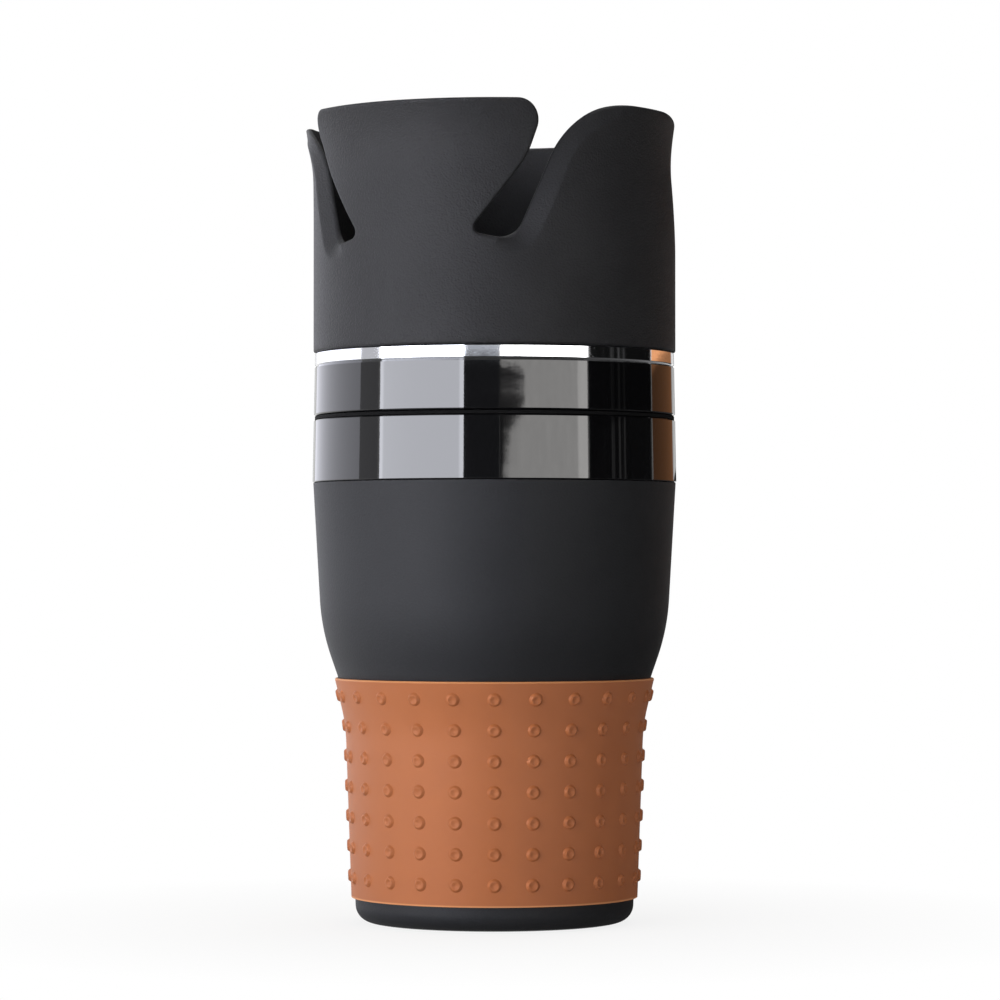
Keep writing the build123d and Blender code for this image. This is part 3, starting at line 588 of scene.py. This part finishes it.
def cluttered_room(tree, place, x, y):
    """A pale wall with a lighter strip at its right and a ragged dark patch at its left end. The rings show
    2.4 m of it across 20 mm but only 90 mm of it up 26 mm, so it is drawn that much flatter."""
    spread = add(tree, "ShaderNodeMapping", {"Vector": place, "Scale": (6.0, 160.0, 1.0)}).outputs["Vector"]
    rough = add(tree, "ShaderNodeTexNoise", {
        "Vector": spread, "Scale": 1.0, "Detail": 4.0, "Roughness": 0.65}).outputs["Fac"]
    edge = add(tree, "ShaderNodeMath", {0: rough, 1: 0.3, 2: x}, operation="MULTIPLY_ADD").outputs[0]
    for centre, spread_y, bulge in ((0.004, 0.05, 0.7), (-0.055, 0.02, 0.25)):
        away = add(tree, "ShaderNodeMath", {0: y, 1: centre}, operation="SUBTRACT").outputs[0]
        away = add(tree, "ShaderNodeMath", {0: away}, operation="ABSOLUTE").outputs[0]
        part = add(tree, "ShaderNodeMapRange", {
            "Value": away, "From Max": spread_y, "To Min": bulge, "To Max": 0.0},
            interpolation_type="SMOOTHSTEP").outputs["Result"]
        edge = add(tree, "ShaderNodeMath", {0: edge, 1: part}, operation="ADD").outputs[0]
    patch = add(tree, "ShaderNodeMapRange", {
        "Value": edge, "From Min": 1.32, "From Max": 1.38, "To Min": 1.0, "To Max": 0.02}).outputs["Result"]
    strip = add(tree, "ShaderNodeMapRange", {
        "Value": x, "From Min": -0.9, "From Max": -0.84, "To Min": 4.4, "To Max": 2.4}).outputs["Result"]
    wall = add(tree, "ShaderNodeMath", {0: rough, 1: 4.0, 2: strip}, operation="MULTIPLY_ADD").outputs[0]
    return add(tree, "ShaderNodeMath", {0: wall, 1: patch}, operation="MULTIPLY").outputs[0]


def streaks(tree, place, x, y):
    """Almost black, with a few faint upright streaks low down, where the lower ring shows them."""
    spread = add(tree, "ShaderNodeMapping", {"Vector": place, "Scale": (7.0, 0.4, 1.0)}).outputs["Vector"]
    line = add(tree, "ShaderNodeTexNoise", {"Vector": spread, "Scale": 1.0, "Detail": 3.0}).outputs["Fac"]
    line = add(tree, "ShaderNodeMapRange", {
        "Value": line, "From Min": 0.56, "From Max": 0.66, "To Min": 0.02, "To Max": 0.28}).outputs["Result"]
    low = add(tree, "ShaderNodeMapRange", {
        "Value": y, "From Min": -0.656, "From Max": -0.644, "To Min": 1.0, "To Max": 0.25}).outputs["Result"]
    return add(tree, "ShaderNodeMath", {0: line, 1: low}, operation="MULTIPLY").outputs[0]


def shaded_side(tree, place, x, y):
    """White at the holder's left, darkening smoothly under it to its shaded right side."""
    return add(tree, "ShaderNodeMapRange", {
        "Value": x, "From Min": -0.80, "From Max": -0.53, "To Min": 0.85, "To Max": 0.06},
        interpolation_type="SMOOTHSTEP").outputs["Result"]


board("softbox", -47.7, 1.6, 0.21, 1.75, 0.38, "#f4f6ff", softbox)
board("softbox_above", -48, 1.75, 1.15, 2.2, 1.45, "#2a2a2c", 1.0)
board("rear_left_wall", -126, 1.6, 0.3, 2.05, 0.6, "#f4f5ff", 2.2)
board("left_gap", -88, 2.4, 0.9, 0.9, 2.6, "#d2d2d6", 1.0)
board("front_flag", -8.5, 2.4, 0.9, 1.08, 2.6, "#f2f6ff", brighter_above(-0.566, 0.09, 0.75))
board("pale_wall", 32, 2.2, 0.3, 2.4, 0.22, "#fffdfb", cluttered_room)
board("pale_wall_above", 32, 2.3, 0.95, 2.7, 2.1, "#2a2a2c", 1.0)
board("right_flag", 90, 2.4, 0.9, 2.8, 2.8, "#ffffff", streaks)
board("warm_board", 139, 2.45, 0.25, 1.77, 0.17, "#b98058", brighter_above(0.048, 0.72, 2.6))
board("white_edge", 163, 2.5, 0.25, 0.6, 0.15, "#ffffff", 0.8)
board("rear_right_flag", 154, 2.7, 0.9, 3.9, 2.8, "#161514", 1.0)
board("grey_ceiling", 20, 0.6, 1.9, 4.2, 4.2, "#666668", 1.0)
# The table lies flat, just above the floor
table = board("dark_table", 90, 0.6, 0.0003, 1.6, 1.6, "#ffffff", shaded_side)
table.rotation_euler = (0, 0, 0)

# Pale floor that keeps the holder's shadow; away from the holder it turns to the white of the backdrop
FLOOR_HALF, FLOOR_LEVEL = 8.0, -0.0002
floor_mesh = bpy.data.meshes.new("studio_floor")
floor_mesh.from_pydata(
    [(x * FLOOR_HALF, y * FLOOR_HALF, FLOOR_LEVEL) for x, y in ((-1, -1), (1, -1), (1, 1), (-1, 1))],
    [], [(0, 1, 2, 3)])
floor = bpy.data.objects.new("studio_floor", floor_mesh)
bpy.context.scene.collection.objects.link(floor)
floor_white, tree, place = finish("studio_floor_white")
path = add(tree, "ShaderNodeLightPath")
seen = path.outputs["Is Camera Ray"]
for ray in ("Is Glossy Ray", "Is Transmission Ray"):
    seen = add(tree, "ShaderNodeMath", {0: seen, 1: path.outputs[ray]}, operation="MAXIMUM").outputs[0]
reach = add(tree, "ShaderNodeVectorMath", {0: place}, operation="LENGTH")
far = add(tree, "ShaderNodeMapRange", {
    "Value": reach.outputs["Value"], "From Min": 0.03, "From Max": 0.15, "To Min": 0.84, "To Max": 1.0})
share = add(tree, "ShaderNodeMath", {0: seen, 1: far.outputs["Result"]}, operation="MULTIPLY")
paper = add(tree, "ShaderNodeBsdfDiffuse", {"Color": linear("#e6e6e6")})
white = add(tree, "ShaderNodeEmission", {"Strength": 1.0})
mixed = add(tree, "ShaderNodeMixShader", {0: share.outputs[0], 1: paper.outputs[0], 2: white.outputs[0]})
add(tree, "ShaderNodeOutputMaterial", {"Surface": mixed.outputs[0]})
floor_mesh.materials.append(floor_white)

# White surroundings: full white to the eye and in shiny parts, softer as light on the holder
world = bpy.data.worlds.new("white_studio")
bpy.context.scene.world = world
world.use_nodes = True
tree = world.node_tree
tree.nodes.clear()
path = add(tree, "ShaderNodeLightPath")
fill = add(tree, "ShaderNodeMapRange", {"Value": path.outputs["Is Glossy Ray"], "To Min": 0.15, "To Max": 1.0})
level = fill.outputs["Result"]
for ray in ("Is Camera Ray", "Is Transmission Ray"):
    level = add(tree, "ShaderNodeMath", {0: level, 1: path.outputs[ray]}, operation="MAXIMUM").outputs[0]
sky = add(tree, "ShaderNodeBackground", {"Color": linear("#ffffff"), "Strength": level})
add(tree, "ShaderNodeOutputWorld", {"Surface": sky.outputs[0]})
